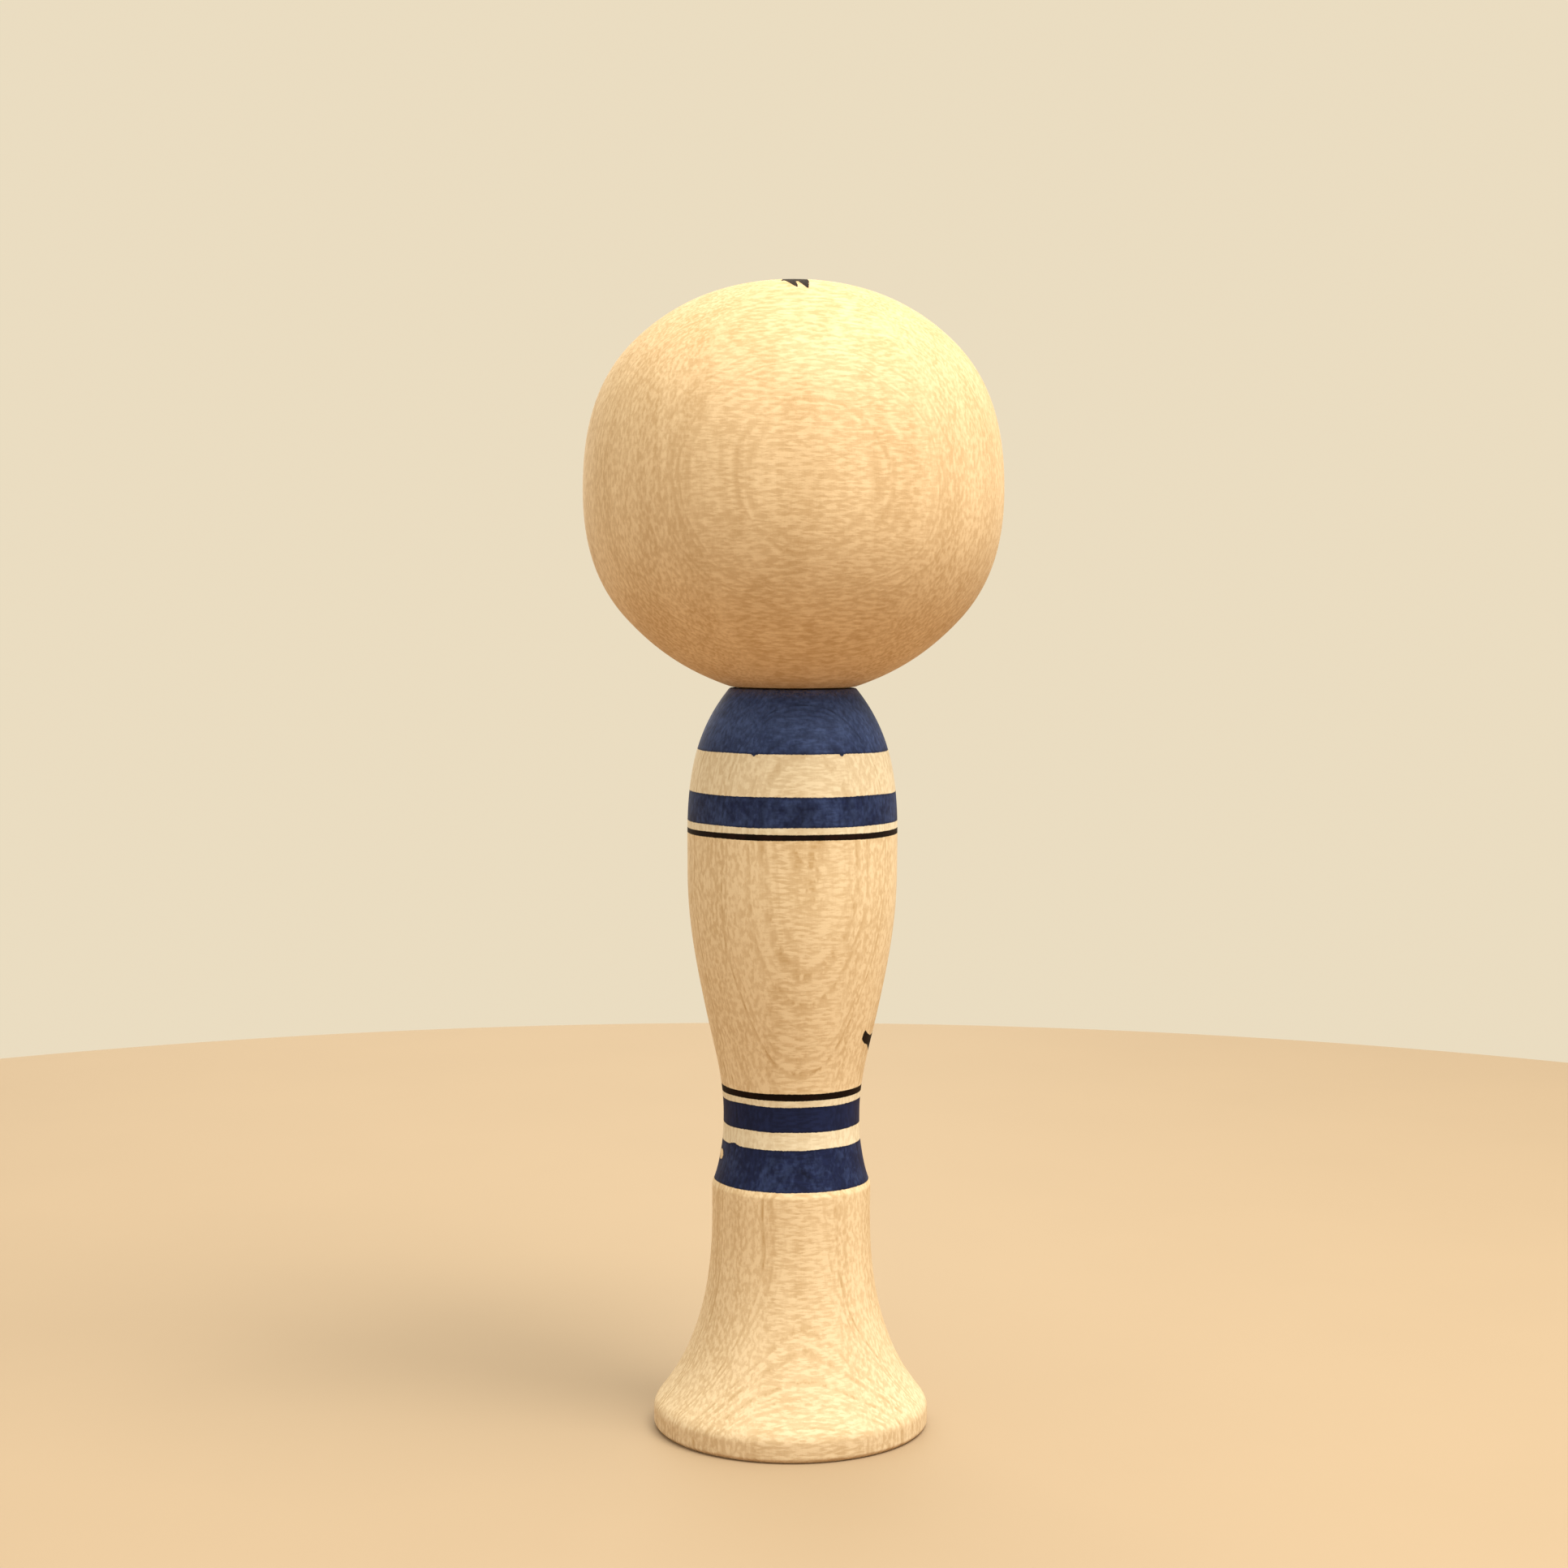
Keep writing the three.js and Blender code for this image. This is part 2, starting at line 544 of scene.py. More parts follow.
def wood_figure_group() -> bpy.types.NodeTree:
    """The figure of close-grained pale wood, solid all through the piece.

    The yearly rings are upright cylinders about the pith, a line parallel to Z that lies off
    to one side. Each ring ends in a thin darker line, some much stronger than others, and
    all broken into short dashes. Upright streaks and fine fibres run through all of them.

    Returns:
        The group. Tone runs about 0.5, brighter above; Height is for a bump.
    """
    bench, given = start_group(
        "wood_figure",
        {"Position": "Vector", "Pith": "Vector", "Ring Spacing": "Float", "Ring Contrast": "Float",
         "Fleck": "Float", "End Grain And Painted Shade": "Float"},
        ("Tone", "Height"))
    place = bench.vector("MULTIPLY", given["Position"], PER_METRE)
    slow = bench.vector("MULTIPLY", place, (0.09, 0.09, 0.035))
    drift = bench.node("ShaderNodeTexNoise", {"Vector": slow, "Scale": 1.0, "Detail": 3.0})
    centred = bench.vector("SUBTRACT", drift.outputs["Color"], (0.5, 0.5, 0.5))
    warped = bench.vector("ADD", place, bench.vector("MULTIPLY", centred, (1.6, 1.6, 0.0)))
    across = bench.vector("MULTIPLY", bench.vector("SUBTRACT", warped, given["Pith"]),
                          (1.0, 1.0, 0.0))
    distance = bench.node("ShaderNodeVectorMath", {0: across}, operation="LENGTH").outputs["Value"]
    years = bench.math("DIVIDE", distance, given["Ring Spacing"])
    uneven = bench.noise(years, 0.3, 2.0, flat=True)
    years = bench.math("MULTIPLY_ADD", uneven, 2.2, years)
    season = bench.math("FRACT", years)
    late = bench.math("SUBTRACT", bench.step(season, 0.15, 0.75), bench.step(season, 0.75, 1.0))
    year = bench.node("ShaderNodeTexWhiteNoise", {"W": bench.math("FLOOR", years)},
                      noise_dimensions="1D").outputs["Value"]
    strength = bench.math("MULTIPLY_ADD", bench.math("POWER", year, 2.0), 0.8, 0.2)
    outward = bench.vector("NORMALIZE", bench.vector("MULTIPLY", place, (1.0, 1.0, 0.0)))
    facing = bench.node("ShaderNodeVectorMath", {0: outward, 1: bench.vector("NORMALIZE", across)},
                        operation="DOT_PRODUCT").outputs["Value"]
    along_rings = bench.step(bench.math("ABSOLUTE", facing), 0.90, 0.985)
    upright = bench.grain(place, (2.6, 2.6, 1.4), 4.0)
    level = bench.grain(place, (0.85, 0.85, 3.4), 3.0)
    kinds = bench.node("ShaderNodeMix", {0: along_rings, 2: upright, 3: level}, data_type="FLOAT")
    fleck = bench.step(kinds.outputs[0], 0.36, 0.64)
    wool = bench.grain(place, (1.3, 1.3, 0.8), 2.0)
    dashes = bench.step(wool, 0.36, 0.62)
    fibre = bench.grain(place, (7.5, 7.5, 0.9), 2.0)
    streak = bench.grain(place, (0.34, 0.34, 0.006), 3.0)
    streak = bench.step(streak, 0.46, 0.54)
    cloud = bench.grain(place, (0.13, 0.13, 0.09), 2.0)
    broken = bench.math("MULTIPLY", bench.math("MULTIPLY", late, strength),
                        bench.math("MULTIPLY_ADD", dashes, 0.85, 0.15))
    broken = bench.math("MULTIPLY", broken, bench.math("MULTIPLY_ADD", fleck, 1.15, 0.12))
    ring_tone = bench.math("SUBTRACT", 0.12, bench.math("MULTIPLY", broken, 0.7))
    # The End Grain input darkens the tone. Set strong, as on the head, it is partly painted shade.
    parts = [bench.math("MULTIPLY", ring_tone, given["Ring Contrast"]),
             bench.math("MULTIPLY", bench.math("SUBTRACT", fleck, 0.5), given["Fleck"]),
             bench.math("MULTIPLY", given["End Grain And Painted Shade"], -1.0)]
    for source, weight in ((streak, 0.14), (cloud, 0.25), (fibre, 0.24), (wool, 0.36)):
        parts.append(bench.math("MULTIPLY", bench.math("SUBTRACT", source, 0.5), weight))
    tone: Value = 0.55
    for part in parts:
        tone = bench.math("ADD", tone, part)
    ridges = bench.math("MULTIPLY_ADD", fibre, 0.4, bench.math("MULTIPLY", fleck, 0.6))
    height = bench.math("SUBTRACT", ridges, bench.math("MULTIPLY", late, 0.06))
    return bench.close_group({"Tone": tone, "Height": height})


def ink_film_group() -> bpy.types.NodeTree:
    """The edge and body of a water-based dye brushed on bare wood.

    The depth inside the painted shape is pushed to and fro by the fibres, so the edge is
    slightly ragged along the grain. The dye gathers in a thin dark line inside the edge, and
    its body is mottled where the wood has drunk it unevenly.

    Returns:
        The group.
    """
    bench, given = start_group(
        "ink_film",
        {"Position": "Vector", "Depth": "Float", "Softness": "Float", "Bleed": "Float"},
        ("Mask", "Pool", "Mottle"))
    place = bench.vector("MULTIPLY", given["Position"], PER_METRE)
    fibre = bench.grain(place, (4.5, 4.5, 1.3), 3.0)
    sway = bench.math("MULTIPLY", bench.math("SUBTRACT", fibre, 0.5), given["Bleed"])
    depth = bench.math("ADD", given["Depth"], sway)
    mask = bench.step(depth, bench.math("MULTIPLY", given["Softness"], -1.0), given["Softness"])
    inner = bench.math("SUBTRACT", 1.0, bench.step(depth, 0.04, 0.3))
    coarse = bench.grain(place, (0.55, 0.55, 0.5), 4.0)
    spots = bench.grain(place, (2.6, 2.6, 1.7), 2.0)
    mottle = bench.math("MULTIPLY_ADD", spots, 0.55, bench.math("MULTIPLY", coarse, 0.75))
    return bench.close_group({"Mask": mask, "Pool": bench.math("MULTIPLY", mask, inner),
                              "Mottle": bench.step(mottle, 0.45, 0.85)})


def handling_group() -> bpy.types.NodeTree:
    """Fine turning marks, the smudges of a doll that has stood on a shelf, and painted shade.

    Turning marks are noise along the outline, so they run round the piece. Smudges are broad
    and soft. Painted shade, flecked with noise, lies where the mesh marks a corner.

    Returns:
        The group.
    """
    bench, given = start_group(
        "handling",
        {"Position": "Vector", "Travel": "Float", "Corner": "Float"},
        ("Marks", "Smudge", "Corner Shade"))
    place = bench.vector("MULTIPLY", given["Position"], PER_METRE)
    fine = bench.noise(given["Travel"], 5.5, 2.0, flat=True)
    broad = bench.noise(given["Travel"], 1.1, 1.0, flat=True)
    smudge = bench.grain(place, (0.12, 0.12, 0.1), 3.0)
    grain = bench.grain(place, (6.0, 6.0, 6.0), 2.0)
    return bench.close_group({
        "Marks": bench.math("MULTIPLY_ADD", fine, 0.6, broad),
        "Smudge": bench.step(smudge, 0.35, 0.7),
        "Corner Shade": bench.math("MULTIPLY", given["Corner"], bench.step(grain, 0.3, 0.7))})


class Groups:
    """The node groups that the materials share, each built once."""

    def __init__(self) -> None:
        """Builds the groups."""
        self.wood = wood_figure_group()
        self.ink = ink_film_group()
        self.handling = handling_group()


# ---- Finishes ----


@dataclass(frozen=True)
class Pigment:
    """A brushed dye.

    Attributes:
        full: Linear colour where the dye is thick.
        thin: Linear colour where the wood has drunk it.
        roughness: Roughness of the waxed dye.
        cover: How much of the wood it hides, 0 to 1.
    """

    full: Colour
    thin: Colour
    roughness: float
    cover: float = 1.0


NAVY = Pigment((0.009, 0.016, 0.066), (0.050, 0.086, 0.245), 0.60)
INK = Pigment((0.004, 0.0012, 0.001), (0.022, 0.006, 0.005), 0.68)
ROUGE = Pigment((0.42, 0.022, 0.016), (0.62, 0.060, 0.035), 0.46)
BLUSH = Pigment((0.80, 0.30, 0.18), (0.82, 0.36, 0.22), 0.50, 0.35)

# Paler wood, laid between the bands and towards the foot as painted light.
PAINTED_LIGHT_WOOD_LIGHT = (0.88, 0.85, 0.73)
PAINTED_LIGHT_WOOD_DARK = (0.68, 0.60, 0.46)
# Colour of the painted shade at the neck joint, under the head and round the foot.
CORNER_SHADE_COLOUR = (0.30, 0.21, 0.13)


def opaque(colour: Colour, share: float = 1.0) -> tuple[float, ...]:
    """The colour as a shader takes it, darkened to a share of itself."""
    return (*(share * part for part in colour), 1.0)


def start_material(name: str) -> tuple[bpy.types.Material, Bench, Socket]:
    """Starts a material.

    Args:
        name: The material's name.

    Returns:
        The material, the bench to build on, and the object's own coordinates.
    """
    material = bpy.data.materials.new(name)
    material.use_nodes = True
    bench = Bench(material.node_tree)
    return material, bench, bench.node("ShaderNodeTexCoord").outputs["Object"]


@dataclass(frozen=True)
class PaintLayer:
    """A painted shape on a piece.

    Attributes:
        attribute: Name of the mesh's depth value for the shape, in mm.
        pigment: What it is painted with.
        softness: Half the width of the edge in mm.
        bleed: How far the fibres carry the edge, in mm.
    """

    attribute: str
    pigment: Pigment
    softness: float = 0.035
    bleed: float = 0.14


@dataclass(frozen=True)
class TurnedWood:
    """Pale close-grained wood, turned, burnished and lightly waxed, with painted shapes.

    Attributes:
        name: The material's name.
        light: Linear colour of the palest wood.
        dark: Linear colour of the darkest figure.
        pith: A point of the pith line, in mm.
        ring_spacing: Width of a year's growth in mm.
        ring_contrast: How strongly the rings show.
        fleck: How strongly the fine flecks show.
        roughness: Roughness of the bare waxed wood.
        layers: Painted shapes, the lowest first.
        end_grain_and_painted_shade: How much darker the wood is where its fibres are cut across; set
            strong, it is partly painted shade.
    """

    name: str
    light: Colour
    dark: Colour
    pith: tuple[float, float, float]
    ring_spacing: float = 0.62
    ring_contrast: float = 1.0
    fleck: float = 0.2
    roughness: float = 0.56
    layers: tuple[PaintLayer, ...] = ()
    end_grain_and_painted_shade: float = 0.08

    def build(self, groups: Groups) -> bpy.types.Material:
        """Makes the material.

        Args:
            groups: The shared node groups.

        Returns:
            The material.
        """
        material, bench, place = start_material(self.name)
        wood = bench.group(groups.wood, {
            "Position": place, "Pith": self.pith, "Ring Spacing": self.ring_spacing,
            "Ring Contrast": self.ring_contrast, "Fleck": self.fleck,
            "End Grain And Painted Shade": bench.math("MULTIPLY", bench.attribute("end_grain"), self.end_grain_and_painted_shade)})
        handling = bench.group(groups.handling, {
            "Position": place, "Travel": bench.attribute("travel"),
            "Corner": bench.attribute("corner")})
        tone, smudge = wood.outputs["Tone"], handling.outputs["Smudge"]
        colour = bench.mix(tone, opaque(self.dark), opaque(self.light))
        # Painted light: a paler copy of the wood, mixed in where the mesh's pale value says.
        painted_light_wood = bench.mix(tone, opaque(PAINTED_LIGHT_WOOD_DARK), opaque(PAINTED_LIGHT_WOOD_LIGHT))
        colour = bench.mix(bench.attribute("pale"), colour, painted_light_wood)
        roughness = bench.math("MULTIPLY_ADD", smudge, 0.07,
                               bench.math("MULTIPLY_ADD", tone, -0.10, self.roughness + 0.04))
        for layer in self.layers:
            colour, roughness = self._paint(bench, groups, layer, place, tone, colour, roughness)
        # Painted shade, flecked with noise, where the mesh marks a corner.
        corner_shade = bench.math("MULTIPLY", handling.outputs["Corner Shade"], 0.35)
        colour = bench.mix(corner_shade, colour, opaque(CORNER_SHADE_COLOUR))
        relief = bench.math("MULTIPLY_ADD", handling.outputs["Marks"], 0.55, wood.outputs["Height"])
        bumped = bench.node("ShaderNodeBump", {
            "Strength": 0.35, "Distance": 0.04 * MM, "Height": relief})
        shader = bench.node("ShaderNodeBsdfPrincipled", {
            "Base Color": colour, "Roughness": roughness, "Normal": bumped.outputs["Normal"],
            "IOR": 1.3, "Specular IOR Level": 0.25, "Coat Weight": 0.02, "Coat Roughness": 0.35})
        bench.node("ShaderNodeOutputMaterial", {"Surface": shader.outputs["BSDF"]})
        return material

    def _paint(self, bench: Bench, groups: Groups, layer: PaintLayer, place: Socket,
               tone: Socket, colour: Socket, roughness: Socket) -> tuple[Socket, Socket]:
        """Lays one painted shape over the surface.

        Args:
            bench: The material's bench.
            groups: The shared node groups.
            layer: The shape to paint.
            place: Object coordinates.
            tone: The wood's tone, which shows a little through the dye.
            colour: Colour so far.
            roughness: Roughness so far.

        Returns:
            The colour and the roughness with the shape on.
        """
        pigment = layer.pigment
        film = bench.group(groups.ink, {
            "Position": place, "Depth": bench.attribute(layer.attribute),
            "Softness": layer.softness, "Bleed": layer.bleed})
        # Mottle thins the dye. A value that the mesh carries also lightens the dye on the body's top
        # band, which is painted light, and darkens it on the lower bands.
        thinness_and_painted_light = bench.math("MULTIPLY_ADD", film.outputs["Mottle"], 0.5,
                              bench.math("MULTIPLY", bench.attribute("painted_light_and_darker_below"), 0.6))
        dye = bench.mix(thinness_and_painted_light, opaque(pigment.full), opaque(pigment.thin))
        dye = bench.mix(bench.math("MULTIPLY", film.outputs["Pool"], 0.5), dye,
                        opaque(pigment.full, 0.45))
        shade = bench.math("MULTIPLY_ADD", tone, 0.7, 0.65)
        grey = bench.node("ShaderNodeCombineColor", {0: shade, 1: shade, 2: shade})
        dye = bench.mix(1.0, dye, grey.outputs[0], "MULTIPLY")
        cover = bench.math("MULTIPLY", film.outputs["Mask"], pigment.cover)
        colour = bench.mix(cover, colour, dye)
        change = bench.math("SUBTRACT", pigment.roughness, roughness)
        return colour, bench.math("MULTIPLY_ADD", change, cover, roughness)


@dataclass(frozen=True)
class StudioPaper:
    """The plain pale paper that the doll stands on.

    Attributes:
        name: The material's name.
        colour: Linear colour that the camera sees.
        bounce: Linear colour of the light that it throws back, warmer and deeper.
    """

    name: str = "studio_paper"
    colour: Colour = (0.46, 0.365, 0.27)
    bounce: Colour = (0.34, 0.20, 0.095)

    def build(self) -> bpy.types.Material:
        """Makes the material, with a faint mottle so that it isn't perfectly flat.

        Returns:
            The material.
        """
        material, bench, place = start_material(self.name)
        mottle = bench.noise(place, 35.0, 3.0)
        colour = bench.mix(mottle, opaque(self.colour, 0.96), opaque(self.colour))
        seen = bench.node("ShaderNodeLightPath").outputs["Is Camera Ray"]
        colour = bench.mix(seen, opaque(self.bounce), colour)
        shader = bench.node("ShaderNodeBsdfPrincipled", {"Base Color": colour, "Roughness": 0.7})
        bench.node("ShaderNodeOutputMaterial", {"Surface": shader.outputs["BSDF"]})
        return material


# ---- The doll's pieces ----


@dataclass(frozen=True)
class Zone:
    """A stretch of height, and how strongly something shows there.

    Attributes:
        middle: Height of its middle in mm.
        reach: Half its height in mm.
        share: Its strength.
    """

    middle: float
    reach: float
    share: float = 1.0

    def soft(self, height: np.ndarray) -> np.ndarray:
        """The strength at each height, fading from the middle to the ends."""
        return self.share * bump(height, self.middle, self.reach)

    def sharp(self, height: np.ndarray) -> np.ndarray:
        """The strength at each height, the same from end to end."""
        return self.share * (np.abs(height - self.middle) < self.reach)


@dataclass(frozen=True)
class Slip:
    """A small oval spot that the brush missed, with a lifted edge of the band beside it.

    Attributes:
        azimuth: Azimuth of the spot in degrees.
        height: Height of the spot in mm.
        size: Radius of the spot in mm, before it is drawn out.
        squash: What distances round the body and up it are multiplied by, to draw it out.
        lifted: Azimuth of the lifted edge in degrees.
        lifted_reach: How far the lift fades, in degrees.
        lift: How far the edge is lifted, in mm.
    """

    azimuth: float = 99.7
    height: float = 29.3
    size: float = 0.45
    squash: tuple[float, float] = (0.5, 0.85)
    lifted: float = 124.2
    lifted_reach: float = 9.0
    lift: float = 0.22


@dataclass(frozen=True)
class Band:
    """A band of dye laid on while the body turns.

    Attributes:
        low: Height of its lower edge in mm.
        high: Height of its upper edge in mm.
        seed: Picks the unevenness of its edges.
        wander: How far the edges wander, in mm.
        slip: Where the brush slipped, if it did.
    """

    low: float
    high: float
    seed: int
    wander: float = 0.05
    slip: Slip | None = None


@dataclass
class Body:
    """The turned body: foot, skirt, waist, trunk and neck, with its bands and its spray.

    Lengths are in mm and angles in degrees. The stations run up the outside.
    """

    foot_radius: float = 14.6
    foot_chamfer: float = 0.4
    foot_rim_height: float = 1.9
    foot_shoulder: Station = Station(14.05, 3.2, -38)
    skirt_lower: Station = Station(10.65, 9, -21.5, 0.6)
    skirt_upper: Station = Station(8.65, 17.5, -6, 0.7)
    knee: Station = Station(8.42, 26, 0, 0.7)
    knee_lean_above: float = -23.0
    waist_foot: Station = Station(7.43, 29.9, -9, 0.3)
    waist: Station = Station(7.22, 33.4, 0, 0.35)
    chest: Station = Station(9.1, 44.6, 12, 0.22)
    belly: Station = Station(11.06, 59.6, 0, 0.25)
    shoulder: Station = Station(10.82, 68.3, -6.8, 0.35)
    neck: Station = Station(6.65, 78.65, -39, 0.4)
    socket_mouth: float = 2.5
    socket_chamber: float = 3.4
    socket_lip: float = 3.0
    socket_depth: float = 9.0
    socket_point: float = 1.0
    edge_softness: float = 0.16
    spacing: float = 0.3
    columns: int = 264
    spur_circle: float = 4.6
    spur_length: float = 2.4
    spur_width: float = 0.9
    spur_depth: float = 0.7
    spur_turn: float = 28.0
    blue_bands: tuple[Band, ...] = (
        Band(72.20, 80.0, 11), Band(64.78, 67.90, 12), Band(32.67, 35.38, 13),
        Band(26.54, 30.83, 14, slip=Slip()))
    black_bands: tuple[Band, ...] = (Band(63.44, 64.05, 21, 0.03), Band(36.05, 36.76, 22, 0.03))
    paint_margin: float = 0.5
    # Painted light: the dye of the top band is made lighter towards its middle. Lower down, the dye
    # is made darker.
    painted_light_top_band: Zone = Zone(75.6, 5.0)
    darker_lower_dye: tuple[Zone, ...] = (Zone(22.3, 22.3, 0.3), Zone(34.025, 1.655, 0.5))
    # Painted light: paler wood towards the foot and in the strips between the bands.
    painted_light_foot: Zone = Zone(0.0, 22.0, 0.15)
    painted_light_strips: tuple[Zone, ...] = (
        Zone(70.05, 2.6, 0.5), Zone(64.4, 0.6, 0.9), Zone(35.72, 0.6, 0.9), Zone(31.75, 1.3, 0.9))
    # Painted shade at the neck joint and round the foot's lower edge.
    neck_shade: Zone = Zone(78.65, 1.1)
    foot_shade: Zone = Zone(0.0, 0.9, 0.8)
    shaded_radii: tuple[float, float] = (5.0, 13.0)

    def outline(self) -> np.ndarray:
        """The body's outline, from the middle of the underside round to the socket's floor.

        Returns:
            (radius, height) rows.
        """
        rim, flat = self.foot_radius, self.foot_radius - self.foot_chamfer
        mouth, chamber, top = self.socket_mouth, self.socket_chamber, self.neck.height
        lip, floor, spacing = top - self.socket_lip, top - self.socket_depth, self.spacing
        foot = through([(0, 0), (flat, 0), (rim, self.foot_chamfer), (rim, self.foot_rim_height)],
                       (1.2 * spacing, spacing / 4, spacing))
        skirt = [Station(rim, self.foot_rim_height), self.foot_shoulder, self.skirt_lower,
                 self.skirt_upper, self.knee]
        above_knee = Station(self.knee.radius, self.knee.height, self.knee_lean_above)
        trunk = [above_knee, self.waist_foot, self.waist, self.chest, self.belly,
                 self.shoulder, self.neck]
        socket = through([self.neck.point, (mouth, top), (mouth, lip),
                          (chamber, lip - chamber + mouth), (chamber, floor),
                          (0, floor - self.socket_point)],
                         (spacing, 2 * spacing, spacing, 2 * spacing, 2 * spacing))
        return join_softly([*foot, smooth_outline(skirt), smooth_outline(trunk), *socket],
                           self.edge_softness)

    def _spur_marks(self, surface: TurnedSurface) -> np.ndarray:
        """Dents that the lathe's four-spur driver left in the underside, in mm.

        Each is a hump of the distance across it times a hump of the distance along it, on a
        spoke of the driver.

        Args:
            surface: The body's surface.

        Returns:
            How far each vertex is raised.
        """
        under = (surface.height < 0.01) & (surface.radius < self.foot_radius - 1.0)
        raised = np.zeros_like(surface.height)
        for quarter in range(4):
            turn = surface.azimuth - math.radians(self.spur_turn + 90.0 * quarter)
            along = surface.radius * np.cos(turn)
            across = surface.radius * np.sin(turn)
            raised += (bump(along, self.spur_circle, self.spur_length / 2)
                       * bump(across, 0.0, self.spur_width / 2))
        return np.where(under, self.spur_depth * np.clip(raised, 0.0, 1.0), 0.0)

    def _band_depth(self, surface: TurnedSurface, bands: Sequence[Band]) -> np.ndarray:
        """How deep each vertex lies inside any of the bands, in mm.

        It is measured along the outline, from each edge as it wanders round the body, and
        only on the outside of the body.

        Args:
            surface: The body's surface.
            bands: The bands.

        Returns:
            One depth per vertex, negative outside.
        """
        outside = surface.radius > self.waist.radius - 1.0
        outside &= surface.height > self.foot_rim_height
        order = np.argsort(surface.travel[outside])
        heights = surface.height[outside][order]
        travels = surface.travel[outside][order]
        degrees = np.degrees(surface.azimuth)
        depth = np.full(len(surface.height), OUT_OF_REACH)
        for band in bands:
            low = np.interp(band.low, heights, travels)
            high = np.interp(band.high, heights, travels, right=travels[-1] + 0.5)
            low = low + ripple(surface.azimuth, band.seed, band.wander)
            high = high + ripple(surface.azimuth, band.seed + 100, band.wander)
            slip = band.slip
            if slip is not None:
                high = high + slip.lift * bump(degrees, slip.lifted, slip.lifted_reach)
            inside = np.minimum(surface.travel - low, high - surface.travel)
            if slip is not None:
                round_by = np.radians(degrees - slip.azimuth) * surface.radius
                away = np.hypot(slip.squash[0] * round_by,
                                slip.squash[1] * (surface.height - slip.height))
                inside = np.minimum(inside, away - slip.size)
            depth = np.maximum(depth, inside)
        hidden = (surface.radius < self.neck.radius - 0.6) & (surface.height > self.belly.height)
        return np.where(hidden, OUT_OF_REACH, np.maximum(depth, OUT_OF_REACH))

    def _spray(self) -> dict[str, list[Stroke]]:
        """The spray painted on the front, by pigment, on the chart of the body.

        The chart's x is the distance round from the front at that height, and y the height.

        Returns:
            The strokes of each pigment, by its name.
        """
        leaves = [
            Stroke((-0.4, 42.2), (-9.0, 38.4), (-16.9, 42.2), 1.7),
            Stroke((-12.6, 41.15), (-14.0, 41.45), (-15.2, 41.7), 1.35, Press.LINE),
            Stroke((-14.8, 41.6), (-16.6, 41.75), (-17.7, 42.4), 0.95, Press.LINE),
            Stroke((-17.4, 42.25), (-17.75, 42.5), (-17.95, 42.72), 0.6, Press.LINE),
            Stroke((-13.9, 41.7), (-14.15, 41.95), (-14.4, 42.1), 0.55, Press.LINE),
            Stroke((0.4, 42.0), (7.4, 38.4), (12.6, 43.2), 1.6),
            Stroke((-0.3, 45.6), (-4.6, 43.8), (-7.4, 49.6), 1.5),
            Stroke((0.3, 46.6), (4.2, 45.4), (6.9, 51.0), 1.5),
        ]
        stems = [
            Stroke((0.2, 39.4), (0.5, 46.0), (-0.2, 53.6), 0.5, Press.LINE),
            Stroke((-0.1, 48.6), (-3.4, 49.8), (-5.6, 53.4), 0.34, Press.LINE),
            Stroke((0.1, 49.6), (3.4, 50.4), (5.9, 54.4), 0.34, Press.LINE),
        ]
        middle = (-0.1, 57.2)
        petals = []
        root, tip, flattening, twist, bud_length = 1.25, 3.7, 0.86, 8.0, 2.3
        for turn in np.radians(np.arange(0.0, 360.0, 30.0) + twist):
            way = np.array([math.sin(turn), flattening * math.cos(turn)])
            start, end = (tuple(np.array(middle) + reach * way) for reach in (root, tip))
            petals.append(Stroke(start, tuple(np.mean([start, end], 0)), end, 1.35, Press.TEAR))
        for bud, lean in (((-6.2, 54.2), -12.0), ((6.5, 55.2), 10.0)):
            for spread in (-34.0, 0.0, 34.0):
                turn = math.radians(spread + lean)
                end = (bud[0] + bud_length * math.sin(turn), bud[1] + bud_length * math.cos(turn))
                petals.append(Stroke(bud, tuple(np.mean([bud, end], 0)), end, 1.2, Press.TEAR))
        stamens = [dot(middle[0] + 0.62 * math.sin(a), middle[1] + 0.55 * math.cos(a), 0.42)
                   for a in np.linspace(0.0, 2 * math.pi, 6, endpoint=False)]
        splashes = [dot(27.65, 72.15, 0.44), dot(-26.6, 72.15, 0.44)]
        return {"ink": leaves + stems, "navy": petals + splashes, "rouge": stamens}

    def make(self, groups: Groups) -> bpy.types.Object:
        """Builds and dresses the body.

        Args:
            groups: The shared node groups.

        Returns:
            The finished piece.
        """
        surface = TurnedSurface(self.outline(), even_azimuths(self.columns))
        surface.lift = self._spur_marks(surface)
        height, radius = surface.height, surface.radius
        chart = np.stack([surface.azimuth * radius, height], -1)
        outside = radius > self.socket_chamber + self.paint_margin
        spray = {key: np.where(outside, painted(strokes, chart), OUT_OF_REACH)
                 for key, strokes in self._spray().items()}
        navy = np.maximum(self._band_depth(surface, self.blue_bands), spray["navy"])
        ink = np.maximum(self._band_depth(surface, self.black_bands), spray["ink"])
        # Painted shade at the neck joint and round the foot's lower edge.
        corner = (self.neck_shade.soft(height) * (radius > self.shaded_radii[0])
                  + self.foot_shade.soft(height) * (radius > self.shaded_radii[1]))
        # Painted light on the top band's dye, and darker dye lower down.
        painted_light_and_darker_below = self.painted_light_top_band.soft(height)
        for zone in self.darker_lower_dye:
            painted_light_and_darker_below = painted_light_and_darker_below - zone.sharp(height)
